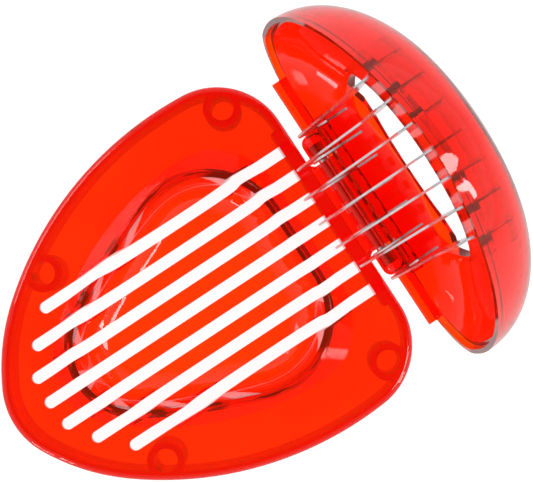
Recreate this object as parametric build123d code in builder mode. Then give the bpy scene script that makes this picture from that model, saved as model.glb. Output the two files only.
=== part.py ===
"""Strawberry and egg slicer: a slotted base with a bowl, and a hinged dome lid that carries seven blades.

Everything is drawn about the hinge axis. BASE is the base's own plane: its origin is on the hinge
axis, level with the top of the base plate, with +Y to the back. LID is the same plane turned open
about the hinge. In both, the tip of the strawberry outline lies at negative y, and in LID +z points
into the dome. Units are millimetres.
"""
import os
from math import cos, degrees, radians, sin

from build123d import *

os.makedirs("parts", exist_ok=True)

# ---- frame -----------------------------------------------------------------------------------
BASE_HEIGHT = 20.0                      # plate top and hinge axis above the table
HINGE_Y = 34.6                          # puts the middle of the open slicer's box on the origin
LID_OPEN = 98.5                         # how far the lid has swung back from closed, degrees

BASE = Plane(origin=(0, HINGE_Y, BASE_HEIGHT))
LID = Plane(
    origin=(0, HINGE_Y, BASE_HEIGHT),
    x_dir=(1, 0, 0),
    z_dir=(0, sin(radians(LID_OPEN)), cos(radians(LID_OPEN))),
)
SIDE_VIEW = Plane(origin=LID.origin, x_dir=LID.y_dir, z_dir=(1, 0, 0))

# ---- outlines: tangent arcs (radius, turn) from the tip to the straight back ------------------
BODY_ARCS = ((19.3, 27.5), (53.0, 23.7), (86.5, 43.7), (17.9, 85.1))
BODY_TIP = -97.9
# the ridge's foot and crest turn in the same steps, so that the wall between them is smooth
FOOT_ARCS = ((15.9, 45.9), (73.7, 14.2), (73.7, 10.0), (73.7, 18.9), (16.5, 91.0))
FOOT_TIP = -84.4
CREST_ARCS = ((15.7, 45.9), (15.7, 14.2), (170.0, 10.0), (18.3, 18.9), (18.3, 91.0))
CREST_TIP = -77.0

# ---- base ------------------------------------------------------------------------------------
WALL = 2.0                              # skirt
PLATE = 1.8                             # flat top plate
EDGE_ROUND = 1.4                        # rounded outer edge of the plate
RIDGE_HEIGHT = 9.0                      # crest ring above the plate
CREST_WIDTH = 1.4                       # flat on top of the ring
RIDGE_WALL = 1.5
BOWL_WALL = 1.4
BOWL_FLOOR = -7.5                       # inside bottom of the bowl, from the plate top
BOWL_DRAFT = 2.0                        # how much the bowl narrows on its way down
BOWL_ROUND = 8.0                        # fillet between bowl wall and bowl floor
BACK_WALL = 3.4                         # thicker skirt across the hinge side
BACK_WALL_HALF = 25.0
FOOT_OUTER = 4.6
FOOT_INNER = 2.9
FEET = ((36.7, -13.9), (27.1, -72.0))   # right-hand pair, mirrored to the left

# ---- slots and blades ------------------------------------------------------------------------
PITCH = 6.5                             # between blades
SLOT_PITCH = 6.6                        # between slots
SLOT_WIDTH = 2.9
SLOT_BACK = -7.4                        # slot end at the back wall
SLOT_NOTCH = -4.7                       # shallow part of the slot, cut into the back wall
NOTCH_DEPTH = 3.0
SLOT_TIPS = (-88.9, -88.2, -83.9, -77.3)  # from the middle slot outwards
BLADE_THICKNESS = 0.5
BLADE_DEPTHS = (15.4, 15.1, 12.4, 7.0)    # belly below the rim plane
BELLY_ENDS = (77.0, 74.0, 64.0, 52.0)     # where the belly runs out towards the tip
BLADE_TIPS = (94.6, 93.4, 90.2, 84.4)
BAND = 5.0                              # height of a blade at its belly
BELLY_Y = 31.0

# ---- hinge -----------------------------------------------------------------------------------
BARREL_R = 2.9
TONGUE_HALF = 12.3
SIDE_GAP = 0.6
LUG_END = 19.8
LUG_ROUND = 2.3
LIP_START = 17.0
PIN_R = 1.5
PIN_CLEARANCE = 0.06
PIN_HALF = 17.0
HEEL_Y = 2.6                            # squared heel of the tongue that stops the lid
HEEL_Z = 3.3
TONGUE_BLEND = 2.2

# ---- lid -------------------------------------------------------------------------------------
RIM_GAP = 0.3                           # rim plane above the base plate when closed
DOME_HEIGHT = 21.3
CROWN_R = 160.0                         # seen from the side
CROWN_ACROSS_R = 79.0                   # seen from the hinge
CROWN_Y = -40.0
SHOULDER_R = 12.0
LID_WALL = 2.0
RIM_WALL = 1.2                          # thinner wall below the inner step
STEP_Z = 1.9
WINDOW_SCALE = 0.57                     # crown window, a smaller copy of the body outline
WINDOW_TIP = -59.6
LIP_HALF = 34.3
LIP_Y = (-3.5, -1.9)
LIP_Z = (-1.3, 2.5)
FIT = 0.05                              # slip fit between the lid and its inserts
INSERT_WALL = 1.2
ROOT_HALF = 21.6
ROOT_Y = -12.2
ROOT_Z = (1.2, 3.4, 13.9)               # ledge bottom, ledge top, panel top
RIB_WIDTH = 2.2                         # ribs of the root holder, between the blades
RIB_Y = (-9.6, -7.0)
RIB_Z = (3.2, 11.0)
TIP_HALF = 24.0
TIP_Z = (0.6, 3.6, 10.4)
TIP_ARC_Y = -62.0
TIP_ARC_R = 24.6


def outline(tip_y, arcs, inset=0.0, scale=1.0):
    """Closed strawberry outline, inset by a constant distance."""
    with BuildLine(Plane.XY, mode=Mode.PRIVATE) as line:
        x = 0.0
        y = tip_y + inset
        heading = 0.0
        for radius, turn in arcs:
            r = radius * scale - inset
            centre = (x - r * sin(heading), y + r * cos(heading))
            CenterArc(centre, r, degrees(heading) - 90, turn)
            heading += radians(turn)
            x = centre[0] + r * sin(heading)
            y = centre[1] - r * cos(heading)
        Line((x, y), (0, y))
        mirror(about=Plane.YZ)
    return line.line


def crown(inset):
    """Ring whose outer surface is the crown: an arc seen from the hinge, swept round in a wider arc."""
    turn_z = DOME_HEIGHT - CROWN_R
    across = Plane(origin=LID.origin + CROWN_Y * LID.y_dir, x_dir=(1, 0, 0), z_dir=-LID.y_dir)
    with BuildPart() as solid:
        with BuildSketch(across):
            with Locations((0, turn_z - CROWN_R + CROWN_ACROSS_R)):
                Circle(CROWN_ACROSS_R - inset)
        revolve(axis=Axis(across.origin + turn_z * LID.z_dir, LID.x_dir))
    return solid.part


def dome(inset, floor):
    """Filled dome inside the lid's outer surface, standing on lid height floor."""
    with BuildPart() as solid:
        with BuildSketch(LID.offset(floor)):
            add(outline(BODY_TIP, BODY_ARCS, inset))
            make_face()
        extrude(amount=DOME_HEIGHT + 5)
        add(crown(inset), mode=Mode.INTERSECT)
        top = solid.faces().filter_by(GeomType.TORUS)[0]
        fillet(top.edges(), SHOULDER_R - inset)
    return solid.part


def lug(side):
    """Hinge lug: a short barrel on the hinge axis with a rounded outer end."""
    with BuildPart() as solid:
        with BuildSketch(SIDE_VIEW.offset(side * (TONGUE_HALF + SIDE_GAP))):
            Circle(BARREL_R)
        extrude(amount=side * (LUG_END - TONGUE_HALF - SIDE_GAP))
        ends = solid.edges().filter_by(GeomType.CIRCLE).sort_by(Axis.X)
        fillet(ends[-1] if side > 0 else ends[0], LUG_ROUND)
    return solid.part


def bowl(top, bottom, inset, bottom_round):
    """Filled bowl shape between two heights, with a rounded bottom edge."""
    with BuildPart() as solid:
        with BuildSketch(BASE.offset(top)):
            add(outline(CREST_TIP, CREST_ARCS, inset))
            make_face()
        with BuildSketch(BASE.offset(bottom)):
            add(outline(CREST_TIP, CREST_ARCS, inset + BOWL_DRAFT))
            make_face()
        loft()
        fillet(solid.edges().group_by(Axis.Z)[0], bottom_round)
    return solid.part


def blade_profile(index):
    """Side view of a blade: first number from the hinge to the tip, second into the dome."""
    depth = BLADE_DEPTHS[index]
    belly_end = BELLY_ENDS[index]
    tip = BLADE_TIPS[index]
    slot_end = -SLOT_TIPS[index]
    with BuildLine(Plane.XY, mode=Mode.PRIVATE) as line:
        cut = Spline(
            (11.6, ROOT_Z[0]),
            (15.0, -0.5 * depth),
            (BELLY_Y, -depth),
            (0.5 * (BELLY_Y + belly_end), -0.68 * depth),
            (belly_end, -1.6),
        )
        Polyline(
            cut @ 1,
            (slot_end - 2.5, -1.2),
            (slot_end - 0.6, 0.9),
            (tip, 0.9),
            (tip, 3.4),
            (tip - 2.4, 8.4),
            (tip - 4.4, 8.4),
            (tip - 5.6, 3.0),
            (belly_end, BAND - 1.8),
        )
        back = Spline(
            (belly_end, BAND - 1.8),
            (0.5 * (BELLY_Y + belly_end), 0.95 * BAND - 0.68 * depth),
            (BELLY_Y, BAND - depth),
            (20.0, 1.25 * BAND - depth),
            (15.0, 2.6),
        )
        Polyline(
            back @ 1,
            (14.4, 8.4),
            (8.0, 8.4),
            (6.7, 6.0),
            (6.7, ROOT_Z[0]),
            cut @ 0,
        )
    return line.line


# ---- base shell ------------------------------------------------------------------------------
with BuildPart() as base_shell:
    # top layer with the hinge tongue, blended into the straight back
    with BuildSketch(BASE.offset(-BARREL_R)) as plan:
        add(outline(BODY_TIP, BODY_ARCS))
        make_face()
        with Locations((0, -3.0)):
            Rectangle(2 * TONGUE_HALF, 6.0)
        inner_corners = plan.vertices().filter_by(lambda v: abs(abs(v.X) - TONGUE_HALF) < 0.01)
        fillet(inner_corners.sort_by(Axis.Y)[:2], TONGUE_BLEND)
    extrude(amount=BARREL_R)
    rim = base_shell.edges().group_by(Axis.Z)[-1].sort_by(Axis.Y)[:-1]
    fillet(rim, EDGE_ROUND)

    # skirt
    with BuildSketch(BASE.offset(-BASE_HEIGHT)):
        add(outline(BODY_TIP, BODY_ARCS))
        make_face()
    extrude(amount=BASE_HEIGHT - BARREL_R)
    with BuildSketch(BASE.offset(-BASE_HEIGHT)):
        add(outline(BODY_TIP, BODY_ARCS, WALL))
        make_face()
    extrude(amount=BASE_HEIGHT - PLATE, mode=Mode.SUBTRACT)

    # ridge around the bowl, hollow underneath
    with BuildSketch(BASE.offset(-0.5 * PLATE)):
        add(outline(FOOT_TIP, FOOT_ARCS))
        make_face()
    with BuildSketch(BASE.offset(RIDGE_HEIGHT)):
        add(outline(CREST_TIP - CREST_WIDTH, CREST_ARCS, scale=1 + CREST_WIDTH / 32))
        make_face()
    loft()
    with BuildSketch(BASE.offset(-PLATE)):
        add(outline(FOOT_TIP, FOOT_ARCS, RIDGE_WALL))
        make_face()
    with BuildSketch(BASE.offset(RIDGE_HEIGHT - RIDGE_WALL)):
        add(outline(CREST_TIP - CREST_WIDTH, CREST_ARCS, RIDGE_WALL, 1 + CREST_WIDTH / 32))
        make_face()
    loft(mode=Mode.SUBTRACT)

    # bowl
    add(bowl(RIDGE_HEIGHT - BOWL_WALL, BOWL_FLOOR - BOWL_WALL, -BOWL_WALL, BOWL_ROUND + BOWL_WALL))
    add(bowl(RIDGE_HEIGHT, BOWL_FLOOR, 0.0, BOWL_ROUND), mode=Mode.SUBTRACT)

    # back wall behind the slots
    with BuildSketch(BASE.offset(-BASE_HEIGHT)):
        with Locations((0, SLOT_BACK + BACK_WALL / 2)):
            Rectangle(2 * BACK_WALL_HALF, BACK_WALL)
    extrude(amount=BASE_HEIGHT - 0.5 * PLATE)

    # hollow feet against the skirt
    with BuildSketch(BASE.offset(-BASE_HEIGHT)):
        for side in (-1, 1):
            for foot_x, foot_y in FEET:
                with Locations((side * foot_x, foot_y)):
                    Circle(FOOT_OUTER)
                    Circle(FOOT_INNER, mode=Mode.SUBTRACT)
    extrude(amount=BASE_HEIGHT - 0.5 * PLATE)

    # blade slots, round at the tip end and square at the back
    with BuildSketch(BASE.offset(RIDGE_HEIGHT)):
        for column in range(-3, 4):
            tip_y = SLOT_TIPS[abs(column)]
            length = SLOT_BACK - tip_y - SLOT_WIDTH / 2
            with Locations((column * SLOT_PITCH, SLOT_BACK - length / 2)):
                Rectangle(SLOT_WIDTH, length)
            with Locations((column * SLOT_PITCH, tip_y + SLOT_WIDTH / 2)):
                Circle(SLOT_WIDTH / 2)
    extrude(amount=-(RIDGE_HEIGHT + BASE_HEIGHT), mode=Mode.SUBTRACT)
    with BuildSketch(BASE):
        for column in range(-3, 4):
            with Locations((column * SLOT_PITCH, (SLOT_BACK + SLOT_NOTCH) / 2 - 0.5)):
                Rectangle(SLOT_WIDTH, SLOT_NOTCH - SLOT_BACK + 1.0)
    extrude(amount=-NOTCH_DEPTH, mode=Mode.SUBTRACT)

    # hinge barrel, the heel that stops the lid, and the pin's bore
    with BuildSketch(Plane.YZ) as barrel:
        with Locations((HINGE_Y, BASE_HEIGHT)):
            Circle(BARREL_R)
        with Locations((HINGE_Y + HEEL_Y / 2, BASE_HEIGHT + HEEL_Z / 2)):
            RectangleRounded(HEEL_Y, HEEL_Z, 0.5)
    extrude(amount=TONGUE_HALF, both=True)
    with BuildSketch(Plane.YZ):
        with Locations((HINGE_Y, BASE_HEIGHT)):
            Circle(PIN_R + PIN_CLEARANCE)
    extrude(amount=TONGUE_HALF, both=True, mode=Mode.SUBTRACT)

base_shell.part.label = "base_shell"
export_step(base_shell.part, "parts/base_shell.step")

# ---- lid shell -------------------------------------------------------------------------------
with BuildPart() as lid_shell:
    add(dome(0.0, RIM_GAP))
    for side in (-1, 1):
        # hinge lug, with a web to the dome
        add(lug(side))
        with BuildSketch(SIDE_VIEW.offset(side * (TONGUE_HALF + SIDE_GAP))):
            with Locations((-3.5, (RIM_GAP + 0.1 + BARREL_R) / 2)):
                Rectangle(5.0, BARREL_R - RIM_GAP - 0.1)
        extrude(amount=side * (LUG_END - TONGUE_HALF - SIDE_GAP - 1.0))
        # lip that hangs behind the base's back edge
        with BuildSketch(SIDE_VIEW.offset(side * LIP_START)):
            with Locations(((LIP_Y[0] + LIP_Y[1]) / 2, (LIP_Z[0] + LIP_Z[1]) / 2)):
                RectangleRounded(LIP_Y[1] - LIP_Y[0], LIP_Z[1] - LIP_Z[0], 0.6)
            with Locations(((LIP_Y[1] - 8.0) / 2 - 0.4, (RIM_GAP + 0.1 + LIP_Z[1] - 0.4) / 2)):
                Rectangle(5.4, LIP_Z[1] - 0.5 - RIM_GAP)
        extrude(amount=side * (LIP_HALF - LIP_START))
    add(dome(LID_WALL, RIM_GAP), mode=Mode.SUBTRACT)
    # thinner wall below the inner step
    with BuildSketch(LID.offset(RIM_GAP)):
        add(outline(BODY_TIP, BODY_ARCS, RIM_WALL))
        make_face()
    extrude(amount=STEP_Z - RIM_GAP, mode=Mode.SUBTRACT)
    # crown window
    with BuildSketch(LID.offset(DOME_HEIGHT + 1)):
        add(outline(WINDOW_TIP, BODY_ARCS, scale=WINDOW_SCALE))
        make_face()
    extrude(amount=-15.0, mode=Mode.SUBTRACT)
    # blind holes for the pin
    with BuildSketch(SIDE_VIEW.offset(-PIN_HALF)):
        Circle(PIN_R)
    extrude(amount=2 * PIN_HALF, mode=Mode.SUBTRACT)

lid_shell.part.label = "lid_shell"
export_step(lid_shell.part, "parts/lid_shell.step")

# ---- hinge pin -------------------------------------------------------------------------------
with BuildPart() as hinge_pin:
    with BuildSketch(SIDE_VIEW.offset(-PIN_HALF)):
        Circle(PIN_R)
    extrude(amount=2 * PIN_HALF)

hinge_pin.part.label = "hinge_pin"
export_step(hinge_pin.part, "parts/hinge_pin.step")

# ---- blade holders ---------------------------------------------------------------------------
with BuildPart() as root_holder:
    add(dome(LID_WALL + FIT, ROOT_Z[0]))
    with BuildSketch(LID):
        with Locations((0, ROOT_Y / 2)):
            Rectangle(2 * ROOT_HALF, -ROOT_Y)
    extrude(amount=ROOT_Z[2], mode=Mode.INTERSECT)
    add(dome(LID_WALL + FIT + INSERT_WALL, ROOT_Z[1]), mode=Mode.SUBTRACT)
    for column in range(-3, 3):
        with BuildSketch(SIDE_VIEW.offset((column + 0.5) * PITCH)):
            with Locations(((RIB_Y[0] + RIB_Y[1]) / 2, (RIB_Z[0] + RIB_Z[1]) / 2)):
                Rectangle(RIB_Y[1] - RIB_Y[0], RIB_Z[1] - RIB_Z[0])
        extrude(amount=RIB_WIDTH / 2, both=True)
    for column in range(-3, 4):
        with BuildSketch(SIDE_VIEW.offset(column * PITCH)):
            with Locations((ROOT_Y / 2 - 3.3, 4.3)):
                Rectangle(-ROOT_Y - 6.6, 8.6)
        extrude(amount=BLADE_THICKNESS / 2, both=True, mode=Mode.SUBTRACT)

root_holder.part.label = "root_holder"
export_step(root_holder.part, "parts/root_holder.step")

with BuildPart() as tip_holder:
    add(dome(LID_WALL + FIT, TIP_Z[0]))
    with BuildSketch(LID):
        with Locations((0, BODY_TIP / 2)):
            Rectangle(2 * TIP_HALF, -BODY_TIP)
        with Locations((0, TIP_ARC_Y / 2)):
            Rectangle(2 * TIP_HALF, -TIP_ARC_Y, mode=Mode.SUBTRACT)
        with Locations((0, TIP_ARC_Y)):
            Circle(TIP_ARC_R, mode=Mode.SUBTRACT)
    extrude(amount=TIP_Z[2], mode=Mode.INTERSECT)
    add(dome(LID_WALL + FIT + INSERT_WALL, TIP_Z[1]), mode=Mode.SUBTRACT)
    for column in range(-3, 4):
        with BuildSketch(SIDE_VIEW.offset(column * PITCH)):
            with Locations((-(BLADE_TIPS[abs(column)] - 10.0), 4.5)):
                Rectangle(20.0, 9.0)
        extrude(amount=BLADE_THICKNESS / 2, both=True, mode=Mode.SUBTRACT)

tip_holder.part.label = "tip_holder"
export_step(tip_holder.part, "parts/tip_holder.step")

# ---- blades ----------------------------------------------------------------------------------
for number in range(1, 8):
    place = number - 4
    blade_plane = Plane(
        origin=LID.origin + Vector(place * PITCH, 0, 0),
        x_dir=-LID.y_dir,
        z_dir=(-1, 0, 0),
    )
    with BuildPart() as blade:
        with BuildSketch(blade_plane):
            add(blade_profile(abs(place)))
            make_face()
        extrude(amount=BLADE_THICKNESS / 2, both=True)
    blade.part.label = f"blade_{number}"
    export_step(blade.part, f"parts/blade_{number}.step")
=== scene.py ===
"""Looks for the strawberry slicer: translucent red plastic, bright steel blades, white studio."""

import bpy
from mathutils import Matrix, Vector

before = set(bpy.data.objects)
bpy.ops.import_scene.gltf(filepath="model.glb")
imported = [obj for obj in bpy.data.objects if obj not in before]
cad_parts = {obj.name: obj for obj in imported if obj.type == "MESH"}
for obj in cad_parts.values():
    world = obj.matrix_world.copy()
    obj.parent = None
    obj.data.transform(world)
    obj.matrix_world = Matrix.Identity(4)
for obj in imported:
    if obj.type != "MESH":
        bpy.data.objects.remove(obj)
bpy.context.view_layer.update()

# ---- numbers that set the look ---------------------------------------------------------------
PLASTIC_IOR = 1.49
DYE_COLOR = (0.9935, 0.50, 0.01, 1)      # absorption per metre is density times (1 - colour)
DYE_DENSITY = 3000.0
# colour of the painted glow: a constant red emission on the plastic in place of light scattered
# inside it
PAINTED_GLOW_COLOR = (1.0, 0.01, 0.02, 1)
SHADOW_COLOR = (0.95, 0.6, 0.5, 1)       # light that gets through to the ground
RED_DEEP = (0.95, 0.30, 0.03)
RED_LIGHT = (0.98, 0.38, 0.05)
INSERT_DEEP = (0.93, 0.28, 0.03)
INSERT_LIGHT = (0.97, 0.35, 0.05)
STEEL_DARK = (0.62, 0.63, 0.65, 1)
STEEL_BRIGHT = (0.86, 0.86, 0.87, 1)
BLADES = 7

FLOOR_HALF = 4.0                         # half the side of the floor, metres
FLOOR_GLOW = 0.94                        # as the camera and the clear plastic see it
FLOOR_GLOW_MIRRORED = 0.55               # as a glossy surface mirrors it
SKY = (                                  # height above the horizon, and the grey there
    (0.0, (0.95, 0.95, 0.96, 1)),
    (0.5, (0.60, 0.60, 0.61, 1)),
    (0.9, (0.30, 0.30, 0.30, 1)),
    (0.975, (0.02, 0.02, 0.02, 1)),
)
SOFTBOXES = (                            # name, place, target, size, power in watts
    ("key", (0.35, 0.30, 0.75), (0, 0, 0.03), (0.35, 0.25), 3.0),
    ("fill", (-0.55, -0.30, 0.65), (0, 0, 0.03), (0.40, 0.40), 2.0),
    ("side", (0.58, 0.31, 0.42), (0.01, 0.05, 0.11), (0.10, 0.18), 0.8),
    ("front", (0.24, -0.58, 0.19), (-0.02, 0.04, 0.03), (0.20, 0.15), 0.7),
)

PLATE_Z = 0.020                          # top of the base plate
EYE = Vector((0.0024, 0.0120, 0.530))
AIM = Vector((-0.0039, 0.0121, PLATE_Z))
UP = Vector((-0.8354, 0.5496, 0.0))
LENS = 142.8
SENSOR_WIDTH = 36.0


# ---- materials -------------------------------------------------------------------------------

def new_material(name):
    """An empty node material and a function that adds a node to it."""
    mat = bpy.data.materials.new(name)
    mat.use_nodes = True
    tree = mat.node_tree
    tree.nodes.clear()

    def node(kind, **inputs):
        made = tree.nodes.new(kind)
        for key, value in inputs.items():
            made.inputs[key.replace("_", " ")].default_value = value
        return made

    return mat, tree, node


def ramp(node, stops):
    """Sets the stops of a colour ramp node."""
    elements = node.color_ramp.elements
    while len(elements) > 1:
        elements.remove(elements[-1])
    elements[0].position, elements[0].color = stops[0]
    for position, color in stops[1:]:
        elements.new(position).color = color


def red_plastic(name, deep, light, roughness, seed, painted_glow):
    """Moulded clear plastic, dyed red through its depth, with faint flow marks and ripple.

    The last argument sets a painted glow: a constant red emission standing in for the light the
    plastic gives back from its longest inner paths.
    """
    mat, tree, node = new_material(name)
    link = tree.links.new
    out = node("ShaderNodeOutputMaterial")
    coords = node("ShaderNodeTexCoord")
    place = node("ShaderNodeMapping")
    place.inputs["Location"].default_value = (seed, seed * 0.7, 0)
    link(coords.outputs["Object"], place.inputs["Vector"])
    flow = node("ShaderNodeTexNoise", Scale=38.0, Detail=3.0, Roughness=0.5)
    link(place.outputs["Vector"], flow.inputs["Vector"])
    tint = node("ShaderNodeValToRGB")
    ramp(tint, ((0.3, (*deep, 1)), (0.7, (*light, 1))))
    link(flow.outputs["Fac"], tint.inputs["Fac"])
    smear = node("ShaderNodeTexNoise", Scale=160.0, Detail=4.0, Roughness=0.6)
    link(place.outputs["Vector"], smear.inputs["Vector"])
    gloss = node("ShaderNodeMapRange")
    gloss.inputs["To Min"].default_value = roughness * 0.7
    gloss.inputs["To Max"].default_value = roughness * 1.4
    link(smear.outputs["Fac"], gloss.inputs["Value"])
    ripple = node("ShaderNodeTexNoise", Scale=95.0, Detail=1.0)
    link(place.outputs["Vector"], ripple.inputs["Vector"])
    bump = node("ShaderNodeBump", Strength=0.05, Distance=0.0006)
    link(ripple.outputs["Fac"], bump.inputs["Height"])
    body = node("ShaderNodeBsdfPrincipled", IOR=PLASTIC_IOR)
    body.inputs["Transmission Weight"].default_value = 0.975
    # painted glow: the surface emits a little red light of its own, standing in for scattered
    # light
    body.inputs["Emission Color"].default_value = PAINTED_GLOW_COLOR
    body.inputs["Emission Strength"].default_value = painted_glow
    link(tint.outputs["Color"], body.inputs["Base Color"])
    link(gloss.outputs["Result"], body.inputs["Roughness"])
    link(bump.outputs["Normal"], body.inputs["Normal"])
    clear = node("ShaderNodeBsdfTransparent", Color=SHADOW_COLOR)
    dye = node("ShaderNodeVolumeAbsorption", Color=DYE_COLOR, Density=DYE_DENSITY)
    rays = node("ShaderNodeLightPath")
    mix = node("ShaderNodeMixShader")
    link(rays.outputs["Is Shadow Ray"], mix.inputs["Fac"])
    link(body.outputs["BSDF"], mix.inputs[1])
    link(clear.outputs["BSDF"], mix.inputs[2])
    link(mix.outputs["Shader"], out.inputs["Surface"])
    link(dye.outputs["Volume"], out.inputs["Volume"])
    return mat


def steel(name, roughness, stretch):
    """Bright rolled steel: fine lines along the metal, a little waviness."""
    mat, tree, node = new_material(name)
    link = tree.links.new
    out = node("ShaderNodeOutputMaterial")
    coords = node("ShaderNodeTexCoord")
    place = node("ShaderNodeMapping")
    place.inputs["Scale"].default_value = stretch
    link(coords.outputs["Object"], place.inputs["Vector"])
    grain = node("ShaderNodeTexNoise", Scale=900.0, Detail=4.0)
    link(place.outputs["Vector"], grain.inputs["Vector"])
    shade = node("ShaderNodeValToRGB")
    ramp(shade, ((0.25, STEEL_DARK), (0.75, STEEL_BRIGHT)))
    link(grain.outputs["Fac"], shade.inputs["Fac"])
    gloss = node("ShaderNodeMapRange")
    gloss.inputs["To Min"].default_value = roughness * 0.6
    gloss.inputs["To Max"].default_value = roughness * 1.5
    link(grain.outputs["Fac"], gloss.inputs["Value"])
    bump = node("ShaderNodeBump", Strength=0.08, Distance=0.0002)
    link(grain.outputs["Fac"], bump.inputs["Height"])
    body = node("ShaderNodeBsdfPrincipled", Metallic=1.0)
    link(shade.outputs["Color"], body.inputs["Base Color"])
    link(gloss.outputs["Result"], body.inputs["Roughness"])
    link(bump.outputs["Normal"], body.inputs["Normal"])
    link(body.outputs["BSDF"], out.inputs["Surface"])
    return mat


LOOKS = {
    # the last number of each red plastic is the strength of its painted red glow
    "base_shell": red_plastic("base_plastic", RED_DEEP, RED_LIGHT, 0.035, 0.0, 0.025),
    "lid_shell": red_plastic("lid_plastic", RED_DEEP, RED_LIGHT, 0.03, 3.0, 0.008),
    "root_holder": red_plastic("insert_plastic", INSERT_DEEP, INSERT_LIGHT, 0.05, 7.0, 0.008),
    "hinge_pin": steel("pin_steel", 0.22, (0.08, 1, 1)),
}
LOOKS["tip_holder"] = LOOKS["root_holder"]
blade_steel = steel("blade_steel", 0.16, (1, 1, 0.06))
for number in range(1, BLADES + 1):
    LOOKS[f"blade_{number}"] = blade_steel

for name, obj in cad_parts.items():
    for slot in obj.material_slots:
        slot.material = LOOKS[name]

# ---- floor and light -------------------------------------------------------------------------
mesh = bpy.data.meshes.new("floor")
corners = [(x * FLOOR_HALF, y * FLOOR_HALF, 0) for x, y in ((-1, -1), (1, -1), (1, 1), (-1, 1))]
mesh.from_pydata(corners, [], [(0, 1, 2, 3)])
floor = bpy.data.objects.new("floor", mesh)
bpy.context.collection.objects.link(floor)
white, tree, node = new_material("floor_white")
out = node("ShaderNodeOutputMaterial")
paper = node("ShaderNodeBsdfPrincipled", Roughness=0.9)
grain = node("ShaderNodeTexNoise", Scale=6.0)
tone = node("ShaderNodeValToRGB")
ramp(tone, ((0.3, (0.22, 0.22, 0.22, 1)), (0.7, (0.24, 0.24, 0.24, 1))))
tree.links.new(grain.outputs["Fac"], tone.inputs["Fac"])
tree.links.new(tone.outputs["Color"], paper.inputs["Base Color"])
paper.inputs["Emission Color"].default_value = (1, 1, 1, 1)
path = node("ShaderNodeLightPath")
glow = node("ShaderNodeMapRange")
glow.inputs["To Min"].default_value = FLOOR_GLOW
glow.inputs["To Max"].default_value = FLOOR_GLOW_MIRRORED
# a blurred refraction counts as glossy too, so the transmitted part is taken off again
mirrored = node("ShaderNodeMath")
mirrored.operation = "SUBTRACT"
tree.links.new(path.outputs["Is Glossy Ray"], mirrored.inputs[0])
tree.links.new(path.outputs["Is Transmission Ray"], mirrored.inputs[1])
tree.links.new(mirrored.outputs["Value"], glow.inputs["Value"])
tree.links.new(glow.outputs["Result"], paper.inputs["Emission Strength"])
tree.links.new(paper.outputs["BSDF"], out.inputs["Surface"])
mesh.materials.append(white)

world = bpy.data.worlds.new("studio")
bpy.context.scene.world = world
world.use_nodes = True
tree = world.node_tree
sky = tree.nodes["Background"]
sky.inputs["Strength"].default_value = 1.0
direction = tree.nodes.new("ShaderNodeTexCoord")
height = tree.nodes.new("ShaderNodeSeparateXYZ")
fade = tree.nodes.new("ShaderNodeValToRGB")
ramp(fade, SKY)
tree.links.new(direction.outputs["Generated"], height.inputs["Vector"])
tree.links.new(height.outputs["Z"], fade.inputs["Fac"])
tree.links.new(fade.outputs["Color"], sky.inputs["Color"])


def softbox(name, place, target, size, power):
    """A rectangular lamp at place, turned towards target."""
    lamp = bpy.data.lights.new(name, "AREA")
    lamp.shape = "RECTANGLE"
    lamp.size, lamp.size_y = size
    lamp.energy = power
    obj = bpy.data.objects.new(name, lamp)
    obj.location = place
    obj.rotation_euler = (Vector(target) - Vector(place)).to_track_quat("-Z", "Y").to_euler()
    obj.visible_camera = False
    bpy.context.collection.objects.link(obj)


for box in SOFTBOXES:
    softbox(*box)

# ---- camera ----------------------------------------------------------------------------------
camera_data = bpy.data.cameras.new("camera")
camera_data.sensor_width = SENSOR_WIDTH
camera_data.lens = LENS
camera = bpy.data.objects.new("camera", camera_data)
bpy.context.collection.objects.link(camera)
back = (EYE - AIM).normalized()
right = UP.cross(back).normalized()
up = back.cross(right)
camera.matrix_world = Matrix.Translation(EYE) @ Matrix((right, up, back)).transposed().to_4x4()
bpy.context.scene.camera = camera
bpy.context.scene.view_settings.view_transform = "Standard"
